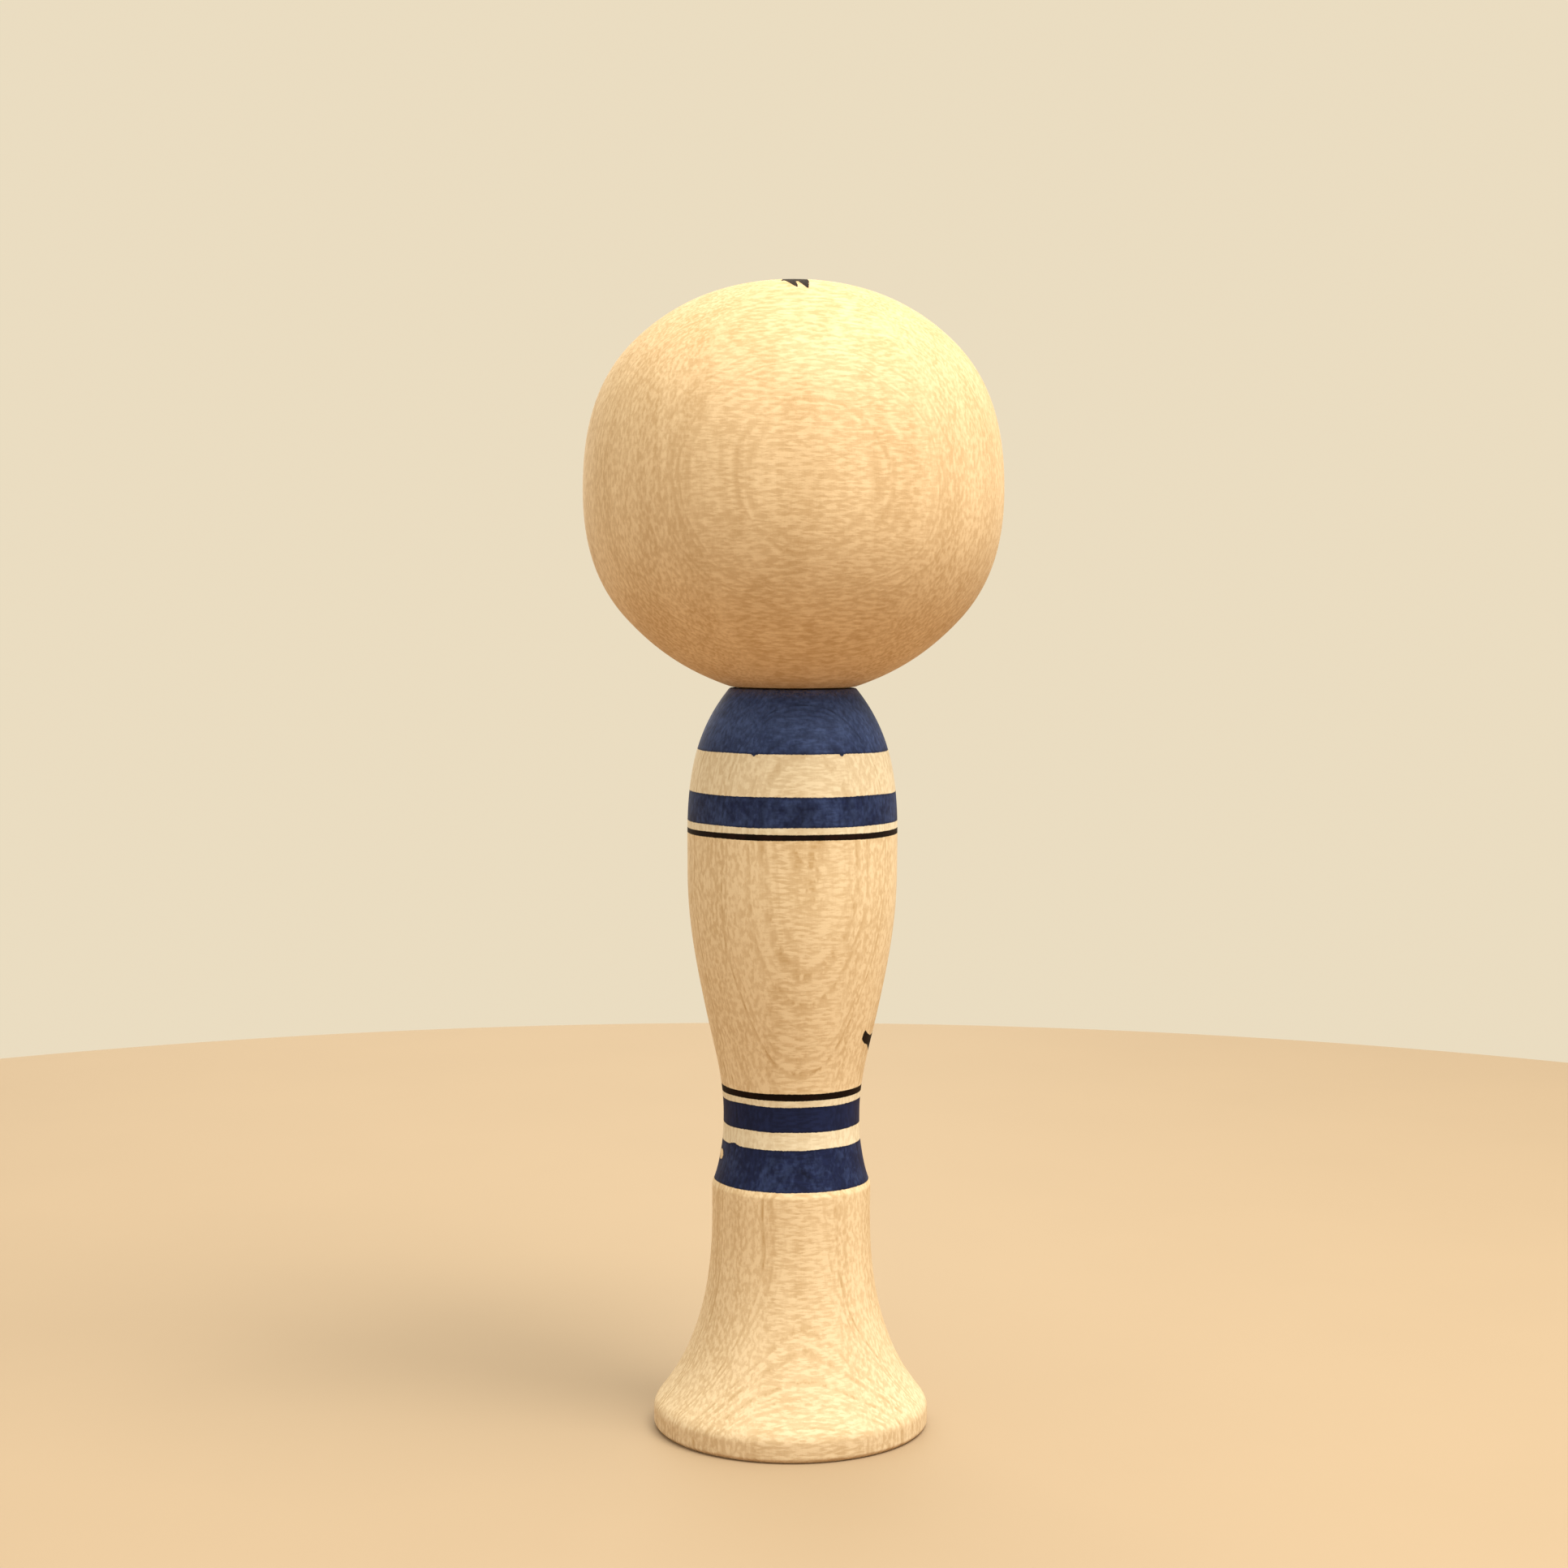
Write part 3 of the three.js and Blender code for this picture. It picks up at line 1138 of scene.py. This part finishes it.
        # Painted light towards the foot and between the bands.
        pale = self.painted_light_foot.soft(height)
        for strip in self.painted_light_strips:
            pale = np.maximum(pale, strip.sharp(height))
        piece = surface.build("doll_body", {
            "navy": navy, "ink": ink, "rouge": spray["rouge"], "corner": corner,
            "painted_light_and_darker_below": painted_light_and_darker_below, "pale": pale})
        finish = TurnedWood(
            "painted_body_wood", light=(0.90, 0.77, 0.575), dark=(0.61, 0.45, 0.26),
            pith=(6.5, -45.0, 0.0), ring_spacing=0.42, ring_contrast=2.0, fleck=0.68,
            layers=(PaintLayer("navy", NAVY), PaintLayer("ink", INK, bleed=0.09),
                    PaintLayer("rouge", ROUGE)))
        piece.data.materials.append(finish.build(groups))
        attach(piece, "body")
        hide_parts("body")
        return piece


@dataclass
class Head:
    """The turned head, with its fringe, sidelocks and face. Lengths are in mm."""

    throat: Station = Station(6.6, 78.95, 71)
    jaw: Station = Station(17.4, 85.8, 43, 0.5)
    cheek: Station = Station(22, 99.2, 0, 0.24)
    temple: Station = Station(16.6, 114.7, -46, 0.27)
    crown: Station = Station(0, 121, -90, 0.27)
    seat_drop: float = 0.14
    bore_radius: float = 2.8
    bore_end: float = 92.25
    bore_point: float = 1.0
    edge_softness: float = 0.14
    spacing: float = 0.4
    columns: int = 340
    crowding: float = 0.5
    paint_margin: float = 1.0
    hair_margin: float = 5.0
    blush_spot: tuple[float, float, float] = (10.2, -6.4, 5.0)
    # Painted shade on the head's underside, round its seat.
    seat_shade: Zone = Zone(78.95, 0.9)
    shaded_radius: float = 9.0

    def outline(self) -> np.ndarray:
        """The head's outline, from the end of the bore, round the outside, to the crown.

        Returns:
            (radius, height) rows.
        """
        seat = self.throat.height - self.seat_drop
        throat = Station(self.throat.radius, seat, self.throat.lean)
        end, bore, spacing = self.bore_end, self.bore_radius, self.spacing
        inside = through([(0, end + self.bore_point), (bore, end), (bore, seat), throat.point],
                         (2 * spacing, 3 * spacing, 2 * spacing))
        ball = smooth_outline([throat, self.jaw, self.cheek, self.temple, self.crown])
        return join_softly([*inside, ball], self.edge_softness)

    def _hair(self) -> list[Stroke]:
        """The lock over the crown and the fringe, on the chart of the crown.

        The chart is flat, with the crown in its middle: a point lies its true distance from
        the crown, at its azimuth, with x towards +X and y towards the face.

        Returns:
            The strokes.
        """
        lock = [
            Stroke((0.0, 11.0), (0.1, 2.0), (-0.1, -5.7), 3.0, Press.LINE),
            Stroke((0.9, -4.6), (1.15, -5.8), (1.35, -6.7), 0.4, Press.TAIL),
            Stroke((0.7, -5.0), (0.25, -7.6), (-0.3, -9.7), 1.0, Press.TAIL),
            Stroke((-0.6, -5.8), (-1.0, -8.0), (-1.42, -10.0), 0.85, Press.TAIL),
            Stroke((-1.2, -5.0), (-1.35, -7.0), (-1.45, -9.0), 0.42, Press.TAIL),
        ]
        fringe = []
        for side in np.linspace(-1.0, 1.0, 13):
            fringe.append(Stroke((1.5 * side, 8.0), (4.6 * side, 14.0 - 1.5 * side ** 2),
                                 (7.8 * side, 21.6 - 3.2 * side ** 2), 1.25, Press.TAIL))
        return lock + fringe

    def _sidelocks(self) -> list[Stroke]:
        """The locks in front of the ears, on the chart of the face.

        Returns:
            The strokes.
        """
        right = []
        for row in np.arange(6.0):
            right.append(Stroke((15.2 + 0.8 * row, 14.0 - 0.15 * row ** 2),
                                (19.0 + 1.1 * row, 8.0 - 0.7 * row),
                                (15.6 + 1.75 * row, -2.6 - 1.9 * row + 0.36 * row ** 2),
                                1.5))
        return right + [stroke.mirrored() for stroke in right]

    def _features(self) -> list[Stroke]:
        """Brows, eyes and nose, on the chart of the face.

        The chart's x is the distance round from the front at that height, and y the distance
        up the outline from the widest line.

        Returns:
            The strokes.
        """
        right = [
            Stroke((3.2, 4.3), (6.6, 6.4), (10.4, 3.7), 0.46),
            Stroke((3.5, -1.0), (6.4, 1.6), (9.6, -1.2), 0.46),
            Stroke((4.5, -1.7), (6.4, -2.7), (8.4, -1.7), 0.3),
            dot(6.4, -0.75, 1.25),
        ]
        nose = [Stroke((-0.85, -3.3), (0.0, -5.3), (0.95, -3.2), 0.34)]
        return right + [stroke.mirrored() for stroke in right] + nose

    def _lips(self) -> list[Stroke]:
        """Two small touches of red, on the chart of the face."""
        return [Stroke((-1.7, -8.0), (0.0, -7.3), (1.7, -8.0), 0.85),
                Stroke((-1.1, -8.7), (0.0, -9.3), (1.1, -8.7), 0.7)]

    def _charts(self, surface: TurnedSurface) -> tuple[np.ndarray, np.ndarray]:
        """The chart of the crown and the chart of the face, one row per vertex.

        Args:
            surface: The head's surface.

        Returns:
            The two charts, as (x, y) rows in mm.
        """
        from_crown = surface.travel.max() - surface.travel
        crown = np.stack([from_crown * np.sin(surface.azimuth),
                          from_crown * np.cos(surface.azimuth)], -1)
        widest = from_crown[np.argmax(surface.radius)]
        face = np.stack([surface.azimuth * surface.radius, widest - from_crown], -1)
        return crown, face

    def make(self, groups: Groups) -> bpy.types.Object:
        """Builds and dresses the head.

        Args:
            groups: The shared node groups.

        Returns:
            The finished piece.
        """
        surface = TurnedSurface(self.outline(), front_loaded_azimuths(self.columns, self.crowding))
        crown, face = self._charts(surface)
        outside = surface.radius > self.throat.radius + self.paint_margin
        near_crown = surface.height > self.cheek.height + self.hair_margin
        hair = np.where(near_crown, painted(self._hair(), crown), OUT_OF_REACH)
        drawn = painted(self._sidelocks() + self._features(), face)
        lips = painted(self._lips(), face)
        x, y, width = self.blush_spot
        blush = painted([dot(x, y, width), dot(-x, y, width)], face)
        ink = np.maximum(hair, np.where(outside, drawn, OUT_OF_REACH))
        # Painted shade on the head's underside, round its seat.
        corner = self.seat_shade.soft(surface.height) * (surface.radius < self.shaded_radius)
        piece = surface.build("doll_head", {
            "ink": ink, "rouge": np.where(outside, lips, OUT_OF_REACH),
            "blush": np.where(outside, blush, OUT_OF_REACH), "corner": corner})
        # The strong end-grain darkening is partly painted shade on the head's underside, and it
        # darkens the crown as well.
        finish = TurnedWood(
            "painted_head_wood", light=(0.88, 0.725, 0.51), dark=(0.60, 0.43, 0.245),
            pith=(2.6, -32.0, 0.0), ring_spacing=0.34, ring_contrast=0.85, fleck=0.56,
            end_grain_and_painted_shade=0.36, roughness=0.54,
            layers=(PaintLayer("blush", BLUSH, softness=1.6, bleed=0.6),
                    PaintLayer("ink", INK, bleed=0.12), PaintLayer("rouge", ROUGE)))
        piece.data.materials.append(finish.build(groups))
        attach(piece, "head")
        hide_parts("head")
        return piece


@dataclass
class NeckPeg:
    """The turned peg: a tenon glued into the head, a shank, and the bead in the socket.

    Lengths are in mm.
    """

    tenon_radius: float = 2.5
    shank_radius: float = 2.2
    bead_radius: float = 3.1
    bead_half_height: float = 1.9
    bead_middle: float = 72.65
    bead_points: int = 30
    shoulder_height: float = 78.95
    tenon_top: float = 91.95
    edge_softness: float = 0.1
    spacing: float = 0.25
    columns: int = 96

    def outline(self) -> np.ndarray:
        """The peg's outline, from the bottom of the bead to the top of the tenon.

        The bead is an ellipse: at angle a from its foot, the radius is bead_radius sin a and
        the height is bead_middle - bead_half_height cos a, up to where it meets the shank.

        Returns:
            (radius, height) rows.
        """
        sweep = math.pi - math.asin(self.shank_radius / self.bead_radius)
        angle = np.linspace(0.0, sweep, self.bead_points)
        bead = np.stack([self.bead_radius * np.sin(angle),
                         self.bead_middle - self.bead_half_height * np.cos(angle)], -1)
        taper = self.tenon_radius - self.shank_radius
        corners = [tuple(bead[-1]), (self.shank_radius, self.shoulder_height),
                   (self.tenon_radius, self.shoulder_height + taper),
                   (self.tenon_radius, self.tenon_top - taper),
                   (self.shank_radius, self.tenon_top), (0.0, self.tenon_top)]
        runs = through(corners, [self.spacing] * len(corners))
        return join_softly([bead, *runs], self.edge_softness)

    def make(self, groups: Groups) -> bpy.types.Object:
        """Builds and dresses the peg.

        Args:
            groups: The shared node groups.

        Returns:
            The finished piece.
        """
        surface = TurnedSurface(self.outline(), even_azimuths(self.columns))
        piece = surface.build("doll_neck_peg", {"corner": np.zeros_like(surface.radius)})
        finish = TurnedWood(
            "plain_peg_wood", light=(0.66, 0.47, 0.27), dark=(0.40, 0.25, 0.12),
            pith=(-14.0, 9.0, 0.0), ring_spacing=0.9, ring_contrast=1.2, fleck=0.3,
            roughness=0.6)
        piece.data.materials.append(finish.build(groups))
        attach(piece, "head")
        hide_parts("neck_peg")
        return piece


# ---- The studio ----


@dataclass(frozen=True)
class Softbox:
    """A square area light.

    Attributes:
        name: The light's name.
        place: Its position in metres.
        aim: The point that it faces, in metres.
        size: Length of a side in metres.
        power: Watts.
        colour: Linear colour.
    """

    name: str
    place: tuple[float, float, float]
    aim: tuple[float, float, float]
    size: float
    power: float
    colour: Colour

    def make(self) -> None:
        """Hangs the light."""
        data = bpy.data.lights.new(self.name, "AREA")
        data.shape = "SQUARE"
        data.size = self.size
        data.energy = self.power
        data.color = self.colour
        lamp = add_object(self.name, data)
        lamp.location = self.place
        way = Vector(self.aim) - Vector(self.place)
        lamp.rotation_euler = way.to_track_quat("-Z", "Y").to_euler()
        lamp.visible_camera = False


@dataclass
class Studio:
    """The pale floor, the soft lights and the camera behind the doll.

    Lengths are in metres, the lens in mm and angles in degrees. The floor is open under the
    foot, so that the underside can be seen.
    """

    floor_reach: float = 0.268
    floor_opening: float = 0.0125
    floor_sides: int = 240
    glow: Colour = (0.86, 0.75, 0.555)
    glow_strength: float = 0.96
    distance: float = 0.2818
    eye_height: float = 0.0884
    eye_offset: float = 0.0009
    pitch: float = 4.04
    roll: float = 0.174
    lens: float = 61.49

    def make_floor(self) -> bpy.types.Object:
        """Lays the floor: rings r of points at (r cos a, r sin a), open under the foot.

        Returns:
            The floor.
        """
        angle = np.linspace(0.0, 2 * math.pi, self.floor_sides, endpoint=False)
        rings = np.array([self.floor_opening, 0.5 * self.floor_reach, self.floor_reach])
        points = np.stack([np.multiply.outer(rings, np.cos(angle)),
                           np.multiply.outer(rings, np.sin(angle)),
                           np.zeros((len(rings), len(angle)))], -1).reshape(-1, 3)
        index = np.arange(len(points)).reshape(len(rings), -1)
        beside = np.roll(index, -1, axis=1)
        quads = np.stack([index[:-1], index[1:], beside[1:], beside[:-1]], -1).reshape(-1, 4)
        mesh = bpy.data.meshes.new("floor")
        mesh.from_pydata(points.tolist(), [], quads.tolist())
        mesh.materials.append(StudioPaper().build())
        floor = add_object("floor", mesh)
        return floor

    def make_lights(self) -> None:
        """Hangs the lights and sets the room's own glow."""
        middle = (0.0, 0.0, 0.075)
        for box in (
            Softbox("key", (-0.20, 0.15, 0.48), middle, 0.26, 2.25, (1.0, 0.89, 0.69)),
            Softbox("overhead", (-0.05, 0.0, 0.60), middle, 0.40, 1.4, (1.0, 0.90, 0.70)),
            Softbox("front_fill", (0.10, -0.45, 0.28), middle, 0.40, 0.7, (1.0, 0.90, 0.72)),
        ):
            box.make()
        world = bpy.data.worlds.new("room")
        world.use_nodes = True
        background = world.node_tree.nodes["Background"]
        background.inputs["Color"].default_value = opaque(self.glow)
        background.inputs["Strength"].default_value = self.glow_strength
        bpy.context.scene.world = world
        bpy.context.scene.view_settings.view_transform = "Standard"

    def make_camera(self) -> None:
        """Stands the camera behind the doll, a little under its crown, looking slightly down."""
        data = bpy.data.cameras.new("camera")
        data.lens = self.lens
        data.clip_start = 0.01
        data.clip_end = 50.0
        camera = add_object("camera", data)
        tilt = Matrix.Rotation(math.radians(90.0 - self.pitch), 4, "X")
        turn = Matrix.Rotation(math.pi, 4, "Z")
        lean = Matrix.Rotation(math.radians(self.roll), 4, "Z")
        place = Matrix.Translation((self.eye_offset, self.distance, self.eye_height))
        camera.matrix_world = place @ turn @ tilt @ lean
        bpy.context.scene.camera = camera


def report(piece: bpy.types.Object) -> None:
    """Logs a finished piece.

    Args:
        piece: The piece.
    """
    mesh = piece.data
    LOG.info("%s: %d vertices, %d triangles", piece.name, len(mesh.vertices),
             len(mesh.loops) - 2 * len(mesh.polygons))


def main() -> None:
    """Builds the studio and the doll."""
    logging.basicConfig(level=logging.INFO)
    studio = Studio()
    studio.make_camera()
    studio.make_lights()
    report(studio.make_floor())
    groups = Groups()
    for maker in (Body(), NeckPeg(), Head()):
        report(maker.make(groups))


if __name__ == "__main__":
    main()
